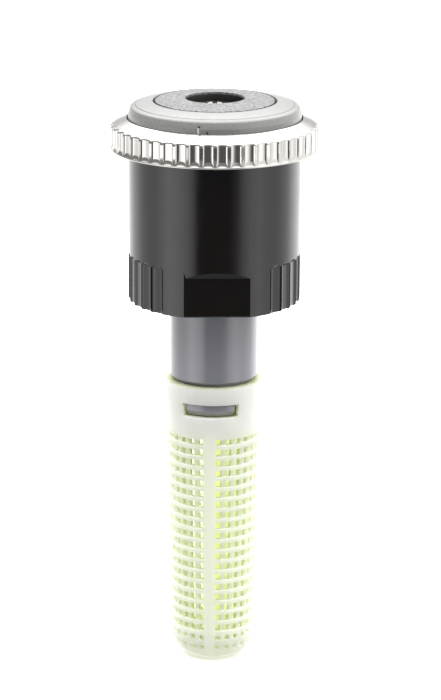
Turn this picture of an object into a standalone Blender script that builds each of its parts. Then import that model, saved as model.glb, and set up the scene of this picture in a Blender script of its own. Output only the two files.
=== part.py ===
"""A rotary pop-up sprinkler nozzle: a threaded nozzle body with a knurled arc ring, a rotor head on a
sprung shaft, and a filter basket clipped to the stem below it.

Run it with: blender --background --python part.py
Sizes are in millimetres and turned into metres by MM. Heights are measured from the bottom face of
the nozzle body, where the riser screws in, and an empty lifts the whole nozzle so that the flat
end of the filter stands on z = 0. The front of the nozzle, with a wrench flat on it, faces -Y.
"""

from math import atan2, cos, pi, radians, sin, tau

import bmesh
import bpy
from mathutils import Matrix, Vector

MM = 0.001

# Driving dimensions
BODY_HEIGHT = 49.0  # bottom face of the nozzle body above the end of the filter
GAP = 0.05  # between fixed pieces that touch
RUN = 0.10  # between pieces that move past each other
SMOOTH_ANGLE = radians(32)

BODY_STEPS = 48  # facets round the large pieces
SMALL_STEPS = 24
SHAFT_STEPS = 16

# Nozzle body
SKIRT_RADIUS = 11.22
SKIRT_TOP = 6.35
BODY_TOP_RADIUS = 11.15
BODY_LOW_RADIUS = 11.1
BODY_TOP = 20.0
THREAD_MINOR_RADIUS = 7.5  # female 5/8 in - 28 riser thread, drawn as a plain bore
SOCKET_DEPTH = 10.0
WEB_TOP = 12.0
CHAMBER_RADIUS = 9.6
FLUTE_PITCH = radians(10.32)
FLUTES_PER_SIDE = 10
FLUTE_DEPTH = 0.3
WRENCH_FLAT_DEPTH = 0.97
WRENCH_FLAT_TOP = 5.3
WRENCH_FLAT_WIDTH = 14.0  # of the cutter, wider than the flat it leaves

# Stem
STEM_RADIUS = 5.7
STEM_BORE = 4.4
STEM_FLANGE_RADIUS = 8.6
STEM_FLANGE_TOP = 13.1
SPIGOT_RADIUS = 5.4
SPIGOT_TOP = 16.1
SHOULDER_Z = -10.3
NECK_RADIUS = 5.25
STEM_BOTTOM = -17.0
HUB_BOTTOM, HUB_TOP = 7.0, 11.0
HUB_RADIUS = 2.4
SHAFT_CLEARANCE_BORE = 1.15
GUIDE_RIB_INNER = 3.2
GUIDE_RIB_WIDTH = 1.2
GUIDE_RIB_TOP = -5.15

# Filter, turned a little about its axis as it clips on
FILTER_TOP = -10.65
FILTER_BOTTOM = -BODY_HEIGHT
FILTER_TOP_RADIUS = 6.29
FILTER_TAPER = 0.0241  # radius lost per millimetre of depth
FILTER_WALL = 0.9
FILTER_CORNER = 2.6
FILTER_TURN = radians(-6.7)
MESH_TOP, MESH_BOTTOM = -17.4, -46.2
WINDOW_ROWS = 4
WINDOWS_PER_QUADRANT = 6
RIB_ANGLE = radians(12.5)  # solid band at each quarter of the filter
SLOT_TOP, SLOT_BOTTOM = -13.0, -14.75
SLOT_HALF_ANGLE = radians(36.8)
BARB_RADIUS = 5.95
BARB_HALF_ANGLE = radians(33.5)

# Arc valve: a lip that climbs round the fixed core and closes against the nozzle's climbing lip
HELIX_RISE = 0.8
ARC_AT_REST = radians(90)
CORE_POST_RADIUS = 2.3
CORE_RIM_RADIUS = 5.6
CORE_RIM_Z = 18.85
CORE_TOP = 19.9
NOZZLE_BORE = 4.5
NOZZLE_FLANGE_RADIUS = 7.9
NOZZLE_COUNTERBORE = 5.75
SPLINE_COUNT = 12
SPLINE_WIDTH = 1.2
SPLINE_TIP_RADIUS = 8.35

# Arc ring
RING_RADIUS = 13.6
RING_BOTTOM = 20.15
RING_TOP = 24.25
RING_MOUTH_RADIUS = 11.43
RING_SKIRT_RADIUS = 9.5
RING_FLUTES = 48
RING_FLUTE_DEPTH = 0.38
RING_FLUTE_LOW, RING_FLUTE_HIGH = 20.65, 23.45

# Rotor head
HEAD_RADIUS = 11.3
HEAD_BOTTOM = 22.6
PLATE_RADIUS = 10.6
PLATE_TOP = 24.85
PLATE_GROOVES = 16
GROOVE_WIDTH = 1.0
GROOVE_OFFSET = 1.6  # the grooves miss the axis by this much, so the water turns the head
CHAMBER_FLOOR = 22.25
BRAKE_CHAMBER_RADIUS = 7.4
COVER_RADIUS = 8.15
COVER_TOP = 25.5
DIAL_RADIUS = 7.75
DIAL_GAP = 0.32  # groove between the dial and the rim
DIAL_EDGE_Z = 26.45
DIAL_HOLE_RADIUS = 3.84
DIAL_HOLE_Z = 26.8
HUB_BORE = 2.0
BUSH_RADIUS = 1.95
BUSH_BORE = 1.08

# Shaft and what rides on it
SHAFT_RADIUS = 1.0
SHAFT_TOP, SHAFT_BOTTOM = 26.0, -17.3
DRIVER_SLOT_WIDTH = 0.65
STATOR_RADIUS = 6.9
SPRING_BOTTOM, SPRING_TOP = -1.5, 6.95
SPRING_TURNS = 6
SPRING_MEAN_RADIUS = 1.75
SPRING_WIRE = 0.35
CUP_TOP = SPRING_BOTTOM - GAP
CUP_THICKNESS = 0.5
CLIP_THICKNESS = 0.35
PLUG_BOTTOM, PLUG_TOP = -15.5, -12.5
PLUG_RADIUS = 3.7
PLUG_BORE = 1.06
SEAT_BOTTOM, SEAT_TOP = -5.05, -4.0
SEAT_BORE = 2.6


# ---------------------------------------------------------------- scene, materials and shared tools

def clear_scene():
    for thing in list(bpy.data.objects):
        bpy.data.objects.remove(thing)


clear_scene()
PARTS = bpy.data.collections.new("popup_sprinkler_nozzle")
CUTTERS = bpy.data.collections.new("cutters")
for collection in (PARTS, CUTTERS):
    bpy.context.scene.collection.children.link(collection)

LIFT = bpy.data.objects.new("nozzle_frame", None)
LIFT.location.z = BODY_HEIGHT * MM
PARTS.objects.link(LIFT)


def material(name, colour, roughness, metallic=0.0):
    made = bpy.data.materials.new(name)
    made.use_nodes = True
    surface = made.node_tree.nodes["Principled BSDF"]
    surface.inputs["Base Color"].default_value = (*colour, 1.0)
    surface.inputs["Roughness"].default_value = roughness
    surface.inputs["Metallic"].default_value = metallic
    made.diffuse_color = (*colour, 1.0)
    return made


BLACK_PLASTIC = material("black_plastic", (0.012, 0.012, 0.013), 0.25)
DARK_PLASTIC = material("dark_grey_plastic", (0.19, 0.19, 0.20), 0.45)
LIGHT_PLASTIC = material("light_grey_plastic", (0.42, 0.42, 0.43), 0.35)
GREY_PLASTIC = material("stem_grey_plastic", (0.20, 0.20, 0.22), 0.3)
GREEN_PLASTIC = material("pale_green_plastic", (0.74, 0.86, 0.58), 0.4)
WHITE_ACETAL = material("white_acetal", (0.8, 0.8, 0.76), 0.35)
CHROME = material("chrome_plate", (0.75, 0.74, 0.72), 0.12, 1.0)
STEEL = material("stainless_steel", (0.6, 0.6, 0.6), 0.25, 1.0)
RUBBER = material("black_rubber", (0.02, 0.02, 0.02), 0.7)


def new_object(name, mesh, collection=PARTS):
    made = bpy.data.objects.new(name, mesh)
    collection.objects.link(made)
    return made


def baked(obj):
    """The object's shape with its modifiers, as a new mesh that is open only where the shape is."""
    graph = bpy.context.evaluated_depsgraph_get()
    return bpy.data.meshes.new_from_object(obj.evaluated_get(graph))


def outline_object(name, profile, collection):
    """An edge outline of (radius, height) points at +X, running down its outer side."""
    closed = profile[0][0] > 0 or profile[-1][0] > 0
    turn = sum(a[0] * b[1] - b[0] * a[1] for a, b in zip(profile, profile[1:] + profile[:1]))
    points = profile if turn < 0 else profile[::-1]
    edges = [(i, i + 1) for i in range(len(points) - 1)]
    if closed:
        edges.append((len(points) - 1, 0))
    mesh = bpy.data.meshes.new(name)
    mesh.from_pydata([(r * MM, 0, z * MM) for r, z in points], edges, [])
    return new_object(name, mesh, collection)


def turned(name, profile, steps, collection=PARTS):
    """A turned piece: the profile swept once round Z."""
    made = outline_object(name, profile, collection)
    screw = made.modifiers.new("turn", "SCREW")
    screw.steps = screw.render_steps = steps
    screw.use_merge_vertices = True
    screw.merge_threshold = 1e-6
    return made


def sector(name, profile, middle, half_angle, steps, collection):
    """A turned piece that covers only part of the circle, with its two ends closed."""
    made = outline_object(name, profile, collection)
    screw = made.modifiers.new("turn", "SCREW")
    screw.angle = 2 * half_angle
    screw.steps = screw.render_steps = steps
    mesh = baked(made)
    shape = bmesh.new()
    shape.from_mesh(mesh)
    bmesh.ops.rotate(shape, verts=shape.verts, matrix=Matrix.Rotation(middle - half_angle, 3, "Z"))
    bmesh.ops.holes_fill(shape, edges=shape.edges)
    bmesh.ops.recalc_face_normals(shape, faces=shape.faces)
    shape.to_mesh(mesh)
    shape.free()
    made.modifiers.clear()
    made.data = mesh
    return made


def box_into(shape, size, matrix):
    bmesh.ops.create_cube(shape, size=MM, matrix=matrix @ Matrix.Diagonal((*size, 1)))


def cutter_object(name, shape):
    mesh = bpy.data.meshes.new(name)
    shape.to_mesh(mesh)
    shape.free()
    return new_object(name, mesh, CUTTERS)


def combine(target, tool, operation, overlaps=False):
    """Cuts target with tool or joins them. The tool stays as a helper. Set overlaps if its own
    pieces cross one another."""
    tool.hide_render = True
    tool.display_type = "WIRE"
    boolean = target.modifiers.new(tool.name, "BOOLEAN")
    boolean.operation = operation
    boolean.solver = "EXACT"
    boolean.use_self = overlaps
    boolean.object = tool


def finish(obj, look):
    """Fixes the modelled shape as a mesh, shades it smooth with sharp corners and lifts it in place."""
    mesh = baked(obj)
    obj.modifiers.clear()
    obj.data = mesh
    mesh.shade_smooth()
    mesh.set_sharp_from_angle(angle=SMOOTH_ANGLE)
    mesh.materials.clear()
    mesh.materials.append(look)
    obj.parent = LIFT
    return obj


def turned_part(name, profile, steps, look):
    return finish(turned(name, profile, steps), look)


def o_ring(name, ring_radius, cord_radius, height, look=RUBBER):
    bpy.ops.mesh.primitive_torus_add(
        major_radius=ring_radius * MM,
        minor_radius=cord_radius * MM,
        major_segments=28,
        minor_segments=6,
        location=(0, 0, height * MM),
    )
    ring = bpy.context.object
    ring.name = name
    for old in list(ring.users_collection):
        old.objects.unlink(ring)
    PARTS.objects.link(ring)
    return finish(ring, look)


def ring_profile(inner, outer, bottom, top):
    return [(inner, top), (outer, top), (outer, bottom), (inner, bottom)]


def around(count, first=0.0):
    return [first + tau * i / count for i in range(count)]


def facing(angle):
    """A rotation that carries -Y, the front, round to this angle, counterclockwise from above."""
    return Matrix.Rotation(angle, 4, "Z")


# ---------------------------------------------------------------- nozzle body and stem

def flute_angles():
    """Angles of the grip flutes from the front: a row on each side, clear of the wrench flats."""
    row = [pi / 2 + (i - (FLUTES_PER_SIDE - 1) / 2) * FLUTE_PITCH for i in range(FLUTES_PER_SIDE)]
    return row + [angle + pi for angle in row]


def flute_circle(radius, pitch, depth):
    """Radius of a concave flute, and how far its middle is from the axis, for crests at this radius."""
    chord = 2 * radius * sin(pitch / 2)
    flute_radius = (chord**2 / 4 + depth**2) / (2 * depth)
    return flute_radius, radius * cos(pitch / 2) + flute_radius - depth


def skirt_cutter():
    """The concave grip flutes and the two wrench flats, each with a 45 degree end at the top."""
    shape = bmesh.new()
    flute_radius, centre = flute_circle(SKIRT_RADIUS, FLUTE_PITCH, FLUTE_DEPTH)
    height = SKIRT_TOP + 2
    for angle in flute_angles():
        made = bmesh.ops.create_cone(
            shape, cap_ends=True, segments=14, radius1=flute_radius * MM, radius2=flute_radius * MM,
            depth=height * MM,
            matrix=facing(angle) @ Matrix.Translation(Vector((0, -centre, SKIRT_TOP - height / 2)) * MM),
        )
        top = [v for v in made["verts"] if v.co.z > (SKIRT_TOP - 0.1) * MM]
        for vertex in top:  # slopes the upper end back, so the flute runs out at the surface
            reach = (vertex.co.xy.length / MM) - (SKIRT_RADIUS - FLUTE_DEPTH)
            vertex.co.z += (reach - FLUTE_DEPTH) * MM
    reach = 2.0
    flat_distance = SKIRT_RADIUS - WRENCH_FLAT_DEPTH
    for angle in (0, pi):
        flat = bmesh.ops.create_cube(
            shape, size=MM,
            matrix=facing(angle)
            @ Matrix.Translation(Vector((0, -flat_distance - reach / 2, (WRENCH_FLAT_TOP - 1) / 2)) * MM)
            @ Matrix.Diagonal((WRENCH_FLAT_WIDTH, reach, WRENCH_FLAT_TOP + 1, 1)),
        )
        for vertex in flat["verts"]:
            inner_corner = Vector((WRENCH_FLAT_WIDTH / 2, flat_distance)).length * MM
            if vertex.co.z > 0 and vertex.co.xy.length > 1.02 * inner_corner:
                vertex.co.z += reach * MM
    return cutter_object("skirt_cutter", shape)


def nozzle_base():
    seal_low, seal_inner, seal_outer = 11.05, 6.55, 7.65  # groove of the stem's O-ring
    rib_low, rib_high, rib_depth = 16.35, 17.25, 0.35  # groove that the arc ring snaps into
    profile = [
        (BODY_TOP_RADIUS, BODY_TOP), (BODY_LOW_RADIUS, SKIRT_TOP + 0.15), (SKIRT_RADIUS, SKIRT_TOP),
        (SKIRT_RADIUS - 0.06, 0.45), (SKIRT_RADIUS - 0.47, 0),
        (THREAD_MINOR_RADIUS + 0.6, 0), (THREAD_MINOR_RADIUS, 0.6),
        (THREAD_MINOR_RADIUS, SOCKET_DEPTH),
        (STEM_RADIUS + RUN, SOCKET_DEPTH), (STEM_RADIUS + RUN, WEB_TOP),
        (seal_inner, WEB_TOP), (seal_inner, seal_low), (seal_outer, seal_low), (seal_outer, WEB_TOP),
        (CHAMBER_RADIUS, WEB_TOP),
        (CHAMBER_RADIUS, rib_low - 0.1), (CHAMBER_RADIUS + rib_depth, rib_low),
        (CHAMBER_RADIUS + rib_depth, rib_high), (CHAMBER_RADIUS, rib_high + 0.1),
        (CHAMBER_RADIUS, BODY_TOP - 0.2), (CHAMBER_RADIUS + 0.2, BODY_TOP),
    ]
    base = turned("nozzle_base", profile, BODY_STEPS)
    combine(base, skirt_cutter(), "DIFFERENCE", overlaps=True)
    return finish(base, BLACK_PLASTIC)


def stem_arms():
    """The hub that guides the shaft, its three arms and the two long ribs that guide the plug."""
    shape = bmesh.new()
    middle, height = (HUB_BOTTOM + HUB_TOP) / 2, HUB_TOP - HUB_BOTTOM
    arm_inner, arm_outer = HUB_RADIUS - 0.3, STEM_BORE + 0.4
    for angle in around(3, pi):
        box_into(
            shape, (0.9, arm_outer - arm_inner, height),
            facing(angle) @ Matrix.Translation(Vector((0, -(arm_inner + arm_outer) / 2, middle)) * MM),
        )
    rib_height = GUIDE_RIB_TOP - STEM_BOTTOM - 0.2
    for angle in (pi / 2, -pi / 2):
        box_into(
            shape, (GUIDE_RIB_WIDTH, arm_outer - GUIDE_RIB_INNER, rib_height),
            facing(angle) @ Matrix.Translation(
                Vector((0, -(GUIDE_RIB_INNER + arm_outer) / 2, GUIDE_RIB_TOP - rib_height / 2)) * MM
            ),
        )
    return cutter_object("stem_arms", shape)


def stem():
    groove_low, groove_high, groove_radius = 14.6, 15.5, 4.85  # seals against the arc nozzle
    tube = turned("stem", [
        (STEM_BORE, SPIGOT_TOP), (SPIGOT_RADIUS, SPIGOT_TOP),
        (SPIGOT_RADIUS, groove_high), (groove_radius, groove_high), (groove_radius, groove_low),
        (SPIGOT_RADIUS, groove_low), (SPIGOT_RADIUS, STEM_FLANGE_TOP),
        (STEM_FLANGE_RADIUS, STEM_FLANGE_TOP), (STEM_FLANGE_RADIUS, WEB_TOP + GAP),
        (STEM_RADIUS, WEB_TOP + GAP), (STEM_RADIUS, SHOULDER_Z + 0.2),
        (STEM_RADIUS - 0.2, SHOULDER_Z), (NECK_RADIUS, SHOULDER_Z),
        (NECK_RADIUS, STEM_BOTTOM + 0.4), (NECK_RADIUS - 0.25, STEM_BOTTOM),
        (STEM_BORE, STEM_BOTTOM),
    ], BODY_STEPS)
    hub = turned(
        "stem_hub", ring_profile(SHAFT_CLEARANCE_BORE, HUB_RADIUS, HUB_BOTTOM, HUB_TOP),
        SMALL_STEPS, CUTTERS,
    )
    arms = stem_arms()
    combine(arms, hub, "UNION")
    bore = turned(
        "stem_hub_bore", ring_profile(0, SHAFT_CLEARANCE_BORE, HUB_BOTTOM - 1, HUB_TOP + 1),
        SHAFT_STEPS, CUTTERS,
    )
    combine(arms, bore, "DIFFERENCE")
    combine(tube, arms, "UNION")
    barb = [
        (NECK_RADIUS - 0.3, SLOT_TOP - 0.15), (BARB_RADIUS, SLOT_TOP - 0.15),
        (BARB_RADIUS, SLOT_BOTTOM + 0.75), (NECK_RADIUS + 0.2, SLOT_BOTTOM + 0.15),
        (NECK_RADIUS - 0.3, SLOT_BOTTOM + 0.15),
    ]
    for side, middle in (("front", -pi / 2), ("back", pi / 2)):
        catch = sector(
            "barb_" + side, barb, middle + FILTER_TURN, BARB_HALF_ANGLE, 10, CUTTERS
        )
        combine(tube, catch, "UNION")
    return finish(tube, GREY_PLASTIC)


def riser_gasket():
    inner, outer = STEM_RADIUS + 0.15, THREAD_MINOR_RADIUS - 0.2
    bottom, top = SOCKET_DEPTH - 0.9, SOCKET_DEPTH - GAP
    return turned_part("riser_gasket", ring_profile(inner, outer, bottom, top), SMALL_STEPS * 2, RUBBER)


def throttle_seat():
    profile = [
        (SEAT_BORE, SEAT_TOP), (STEM_BORE - GAP, SEAT_TOP), (STEM_BORE - GAP, SEAT_BOTTOM),
        (SEAT_BORE + 0.25, SEAT_BOTTOM), (SEAT_BORE, SEAT_BOTTOM + 0.25),
    ]
    return turned_part("throttle_seat", profile, BODY_STEPS, WHITE_ACETAL)


# ---------------------------------------------------------------- filter

def filter_radius(z):
    return FILTER_TOP_RADIUS - FILTER_TAPER * (FILTER_TOP - z)


def filter_windows():
    """Tall windows between the four ribs, in rows round the basket."""
    shape = bmesh.new()
    quadrant = pi / 2 - RIB_ANGLE
    pitch = quadrant / WINDOWS_PER_QUADRANT
    row_pitch = (MESH_TOP - MESH_BOTTOM) / WINDOW_ROWS
    for row in range(WINDOW_ROWS):
        z = MESH_TOP - (row + 0.5) * row_pitch
        radius = filter_radius(z)
        size = (0.55 * pitch * radius, 3.0, 0.72 * row_pitch)
        for quarter in range(4):
            for column in range(WINDOWS_PER_QUADRANT):
                angle = quarter * pi / 2 + RIB_ANGLE / 2 + (column + 0.5) * pitch
                box_into(shape, size, facing(angle) @ Matrix.Translation(Vector((0, -radius, z)) * MM))
    return cutter_object("filter_windows", shape)


def filter_basket():
    wall_low = FILTER_BOTTOM + FILTER_CORNER
    low_radius = filter_radius(wall_low)
    corner = [
        (low_radius - FILTER_CORNER * (1 - cos(a)), wall_low - FILTER_CORNER * sin(a))
        for a in (0, pi / 8, pi / 4, 3 * pi / 8, pi / 2)
    ]
    inner_low = low_radius - FILTER_WALL
    profile = [
        (5.65, FILTER_TOP), (FILTER_TOP_RADIUS, FILTER_TOP), *corner, (0, FILTER_BOTTOM),
        (0, FILTER_BOTTOM + 1.0), (inner_low - 1.6, FILTER_BOTTOM + 1.0),
        (inner_low, wall_low), (NECK_RADIUS + 0.2, MESH_TOP + 0.2), (NECK_RADIUS + 0.2, FILTER_TOP - 0.4),
    ]
    basket = turned("filter_basket", axis_profile(profile), BODY_STEPS)
    wide = SLOT_HALF_ANGLE
    for side, middle in (("front", -pi / 2), ("back", pi / 2)):
        slot = sector("slot_" + side, ring_profile(4.6, 7.0, SLOT_BOTTOM, SLOT_TOP), middle, wide, 8, CUTTERS)
        combine(basket, slot, "DIFFERENCE")
        channel = sector(
            "barb_channel_" + side,
            ring_profile(4.6, BARB_RADIUS + GAP, SLOT_TOP - 0.2, FILTER_TOP + 1.0),
            middle, wide - radians(0.6), 8, CUTTERS,
        )
        combine(basket, channel, "DIFFERENCE")
    combine(basket, filter_windows(), "DIFFERENCE")
    basket = finish(basket, GREEN_PLASTIC)
    basket.rotation_euler.z = FILTER_TURN
    return basket


def axis_profile(profile):
    """The same outline started at its point on the axis, for a shape that is solid at its centre."""
    on_axis = [i for i, point in enumerate(profile) if point[0] == 0]
    start = on_axis[-1]
    return profile[start:] + profile[:start]


# ---------------------------------------------------------------- arc valve and arc ring

HELIX_DROP = tau / BODY_STEPS  # the lip drops back over one facet
HELIX_CLIMB = tau - HELIX_DROP


def helix(angle):
    """Height of the climbing lip at this angle: a steady rise, then a drop over the last facet."""
    turn = angle % tau
    if turn <= HELIX_CLIMB:
        return HELIX_RISE * turn / HELIX_CLIMB
    return HELIX_RISE * (tau - turn) / HELIX_DROP


def climb_lip(obj, lip_points, phase):
    """Raises the profile's lip points round the piece to follow the helix."""
    mesh = baked(obj)
    obj.modifiers.clear()
    obj.data = mesh
    for vertex in mesh.vertices:
        radius, z = vertex.co.xy.length / MM, vertex.co.z / MM
        if any(abs(radius - r) < 0.01 and abs(z - h) < 0.01 for r, h in lip_points):
            facet = round(atan2(vertex.co.y, vertex.co.x) / tau * BODY_STEPS)
            vertex.co.z += helix(facet * tau / BODY_STEPS + phase) * MM
    return obj


def arc_core():
    lip = [(NOZZLE_BORE - 0.1, CORE_RIM_Z - 1.2), (CORE_RIM_RADIUS, CORE_RIM_Z)]
    core = turned("arc_core", [
        (SHAFT_CLEARANCE_BORE, 19.45), (4.0, 19.45), (4.9, CORE_TOP), (CORE_RIM_RADIUS, CORE_TOP),
        lip[1], lip[0],
        (CORE_POST_RADIUS, 16.55), (CORE_POST_RADIUS, HUB_TOP + GAP), (SHAFT_CLEARANCE_BORE, HUB_TOP + GAP),
    ], BODY_STEPS)
    return finish(climb_lip(core, lip, 0.0), BLACK_PLASTIC)


def spline_teeth(name, inner, outer, width, bottom, top):
    shape = bmesh.new()
    for angle in around(SPLINE_COUNT):
        box_into(
            shape, (width, outer - inner, top - bottom),
            facing(angle) @ Matrix.Translation(Vector((0, -(inner + outer) / 2, (bottom + top) / 2)) * MM),
        )
    return cutter_object(name, shape)


def arc_nozzle():
    """At rest the nozzle is turned open by ARC_AT_REST and has climbed down the same share of its lip."""
    drop = HELIX_RISE * ARC_AT_REST / HELIX_CLIMB
    lip_low = CORE_RIM_Z - 1.2 - drop
    lip = [(NOZZLE_BORE, lip_low), (NOZZLE_BORE + 0.8, lip_low + 0.8)]
    bottom = 13.7
    nozzle = turned("arc_nozzle", [
        lip[0], lip[1], (NOZZLE_BORE + 1.2, lip_low + 0.1), (NOZZLE_FLANGE_RADIUS - 0.3, 16.85),
        (NOZZLE_FLANGE_RADIUS, 16.55), (NOZZLE_FLANGE_RADIUS, bottom), (NOZZLE_COUNTERBORE, bottom),
        (NOZZLE_COUNTERBORE, 16.7), (NOZZLE_BORE, 16.7),
    ], BODY_STEPS)
    climb_lip(nozzle, lip, ARC_AT_REST)
    teeth = spline_teeth(
        "nozzle_splines", NOZZLE_FLANGE_RADIUS - 0.5, SPLINE_TIP_RADIUS, SPLINE_WIDTH, 14.05, 16.35
    )
    combine(nozzle, teeth, "UNION")
    return finish(nozzle, WHITE_ACETAL)


def ring_flute_cutter():
    """Concave grip flutes round the arc ring, each with a sloped upper end."""
    shape = bmesh.new()
    pitch = tau / RING_FLUTES
    flute_radius, centre = flute_circle(RING_RADIUS, pitch, RING_FLUTE_DEPTH)
    for angle in around(RING_FLUTES, pitch / 2):
        made = bmesh.ops.create_cone(
            shape, cap_ends=True, segments=10, radius1=flute_radius * MM, radius2=flute_radius * MM,
            depth=(RING_FLUTE_HIGH - RING_FLUTE_LOW) * MM,
            matrix=facing(angle) @ Matrix.Translation(
                Vector((0, -centre, (RING_FLUTE_HIGH + RING_FLUTE_LOW) / 2)) * MM
            ),
        )
        for vertex in made["verts"]:
            if vertex.co.z > (RING_FLUTE_HIGH - 0.1) * MM:
                vertex.co.z += (vertex.co.xy.length / MM - RING_RADIUS) * MM
    return cutter_object("ring_flutes", shape)


def arc_ring():
    spline_radius = NOZZLE_FLANGE_RADIUS + 0.15
    bottom = 13.5
    ring = turned("arc_ring", [
        (RING_MOUTH_RADIUS, RING_TOP), (12.3, 24.05), (13.1, 23.68), (RING_RADIUS, 23.25),
        (RING_RADIUS, RING_BOTTOM + 0.1), (RING_RADIUS - 0.1, RING_BOTTOM),
        (RING_SKIRT_RADIUS, RING_BOTTOM),
        (RING_SKIRT_RADIUS, 19.15), (RING_SKIRT_RADIUS - 0.6, 19.15), (RING_SKIRT_RADIUS - 0.6, 18.35),
        (RING_SKIRT_RADIUS, 18.35), (RING_SKIRT_RADIUS, 17.2), (RING_SKIRT_RADIUS + 0.3, 17.1),
        (RING_SKIRT_RADIUS + 0.3, 16.55), (RING_SKIRT_RADIUS, 16.4),
        (RING_SKIRT_RADIUS, bottom), (spline_radius, bottom),
        (spline_radius, 17.65), (SPLINE_TIP_RADIUS + RUN, 17.95),
        (SPLINE_TIP_RADIUS + RUN, 20.65), (10.9, 21.75), (RING_MOUTH_RADIUS, 22.3),
    ], BODY_STEPS)
    combine(ring, ring_flute_cutter(), "DIFFERENCE", overlaps=True)
    slots = spline_teeth(
        "ring_spline_slots", spline_radius - 1, SPLINE_TIP_RADIUS + RUN, SPLINE_WIDTH + 2 * RUN,
        bottom - 1, 17.8,
    )
    combine(ring, slots, "DIFFERENCE")
    return finish(ring, CHROME)


# ---------------------------------------------------------------- rotor head

def plate_grooves():
    """Straight channels that follow the underside outwards, each set to one side of the axis."""
    shape = bmesh.new()
    length, depth, slope = 9.0, 1.6, radians(21)
    for angle in around(PLATE_GROOVES):
        box_into(
            shape, (GROOVE_WIDTH, length, depth),
            facing(angle)
            @ Matrix.Translation(Vector((GROOVE_OFFSET, -8.6, 20.8)) * MM)
            @ Matrix.Rotation(-slope, 4, "X"),
        )
    return cutter_object("plate_grooves", shape)


def deflector_plate():
    plate = turned("deflector_plate", [
        (8.2, PLATE_TOP), (PLATE_RADIUS, PLATE_TOP), (PLATE_RADIUS, 22.5), (7.5, 21.25), (5.0, 20.35),
        (3.6, 20.0), (HUB_BORE, 20.0), (HUB_BORE, CHAMBER_FLOOR),
        (BRAKE_CHAMBER_RADIUS, CHAMBER_FLOOR), (BRAKE_CHAMBER_RADIUS, 24.35), (8.2, 24.35),
    ], BODY_STEPS)
    combine(plate, plate_grooves(), "DIFFERENCE")
    return finish(plate, BLACK_PLASTIC)


def head_ring():
    fillet_radius, fillet_z = 0.95, 24.9
    fillet = [
        (HEAD_RADIUS - fillet_radius * (1 - sin(a)), fillet_z + fillet_radius * cos(a))
        for a in (radians(15), radians(38), radians(64), radians(90))
    ]
    profile = [
        (DIAL_RADIUS + DIAL_GAP, DIAL_EDGE_Z), *fillet, (HEAD_RADIUS, HEAD_BOTTOM + 0.15),
        (HEAD_RADIUS - 0.15, HEAD_BOTTOM), (PLATE_RADIUS + 0.08, HEAD_BOTTOM),
        (PLATE_RADIUS + 0.08, PLATE_TOP + 0.1), (COVER_RADIUS + 0.1, PLATE_TOP + 0.1),
        (COVER_RADIUS + 0.1, COVER_TOP + 0.1), (DIAL_RADIUS + DIAL_GAP, COVER_TOP + 0.1),
    ]
    return turned_part("head_ring", profile, BODY_STEPS, LIGHT_PLASTIC)


def top_dial():
    profile = [
        (DIAL_HOLE_RADIUS, DIAL_HOLE_Z), (5.9, 26.7), (7.5, 26.53), (DIAL_RADIUS, DIAL_EDGE_Z - 0.05),
        (DIAL_RADIUS, COVER_TOP + 0.1), (DIAL_HOLE_RADIUS, COVER_TOP + 0.1),
    ]
    return turned_part("top_dial", profile, BODY_STEPS, DARK_PLASTIC)


def brake_cover():
    profile = [
        (BUSH_RADIUS + GAP, COVER_TOP), (COVER_RADIUS, COVER_TOP), (COVER_RADIUS, 25.0), (7.35, 25.0),
        (7.35, 24.4), (BUSH_RADIUS + GAP, 24.4),
    ]
    return turned_part("brake_cover", profile, BODY_STEPS, DARK_PLASTIC)


def bush(name, bottom, top, look=WHITE_ACETAL):
    return turned_part(name, ring_profile(BUSH_BORE, BUSH_RADIUS, bottom, top), SHAFT_STEPS, look)


def shaft_seal():
    """A double-lipped rubber ring."""
    profile = [
        (1.35, 21.25), (BUSH_RADIUS, 21.25), (BUSH_RADIUS, 20.5), (1.35, 20.5),
        (1.07, 20.57), (1.07, 20.69), (1.25, 20.87), (1.07, 21.05), (1.07, 21.18),
    ]
    return turned_part("shaft_seal", profile, SHAFT_STEPS, RUBBER)


# ---------------------------------------------------------------- shaft and what rides on it

def shaft():
    thread_depth, thread_pitch, thread_top = 0.12, 1.0, -9.5
    crest = []
    z = thread_top
    while z - thread_pitch > SHAFT_BOTTOM + 0.4:
        crest += [(SHAFT_RADIUS, z), (SHAFT_RADIUS - thread_depth, z - thread_pitch / 2)]
        z -= thread_pitch
    rod = turned("shaft", [
        (0, SHAFT_TOP), (SHAFT_RADIUS - 0.1, SHAFT_TOP), (SHAFT_RADIUS, SHAFT_TOP - 0.1), *crest,
        (SHAFT_RADIUS, z), (SHAFT_RADIUS, SHAFT_BOTTOM + 0.3), (SHAFT_RADIUS - 0.3, SHAFT_BOTTOM),
        (0, SHAFT_BOTTOM),
    ], SHAFT_STEPS)
    shape = bmesh.new()
    box_into(shape, (DRIVER_SLOT_WIDTH, 4, 1.6), Matrix.Translation(Vector((0, 0, SHAFT_TOP)) * MM))
    combine(rod, cutter_object("driver_slot", shape), "DIFFERENCE")
    return finish(rod, STEEL)


def brake_stator():
    profile = [
        (SHAFT_RADIUS + GAP, 23.85), (2.6, 23.85), (2.9, 23.55), (STATOR_RADIUS - 0.2, 23.55),
        (STATOR_RADIUS, 23.35), (STATOR_RADIUS, 22.85), (STATOR_RADIUS - 0.2, 22.65),
        (SHAFT_RADIUS + GAP, 22.65),
    ]
    return turned_part("brake_stator", profile, SMALL_STEPS * 2, WHITE_ACETAL)


def retaining_clip(name, bottom, thickness, radius):
    """A flat clip with an open side, pushed on to the shaft from the side."""
    clip = turned(name, ring_profile(SHAFT_RADIUS + 0.03, radius, bottom, bottom + thickness), SHAFT_STEPS)
    shape = bmesh.new()
    box_into(
        shape, (1.2, 3, 4 * thickness),
        Matrix.Translation(Vector((0, -1.5, bottom + thickness / 2)) * MM),
    )
    combine(clip, cutter_object(name + "_mouth", shape), "DIFFERENCE")
    return finish(clip, STEEL)


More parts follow.
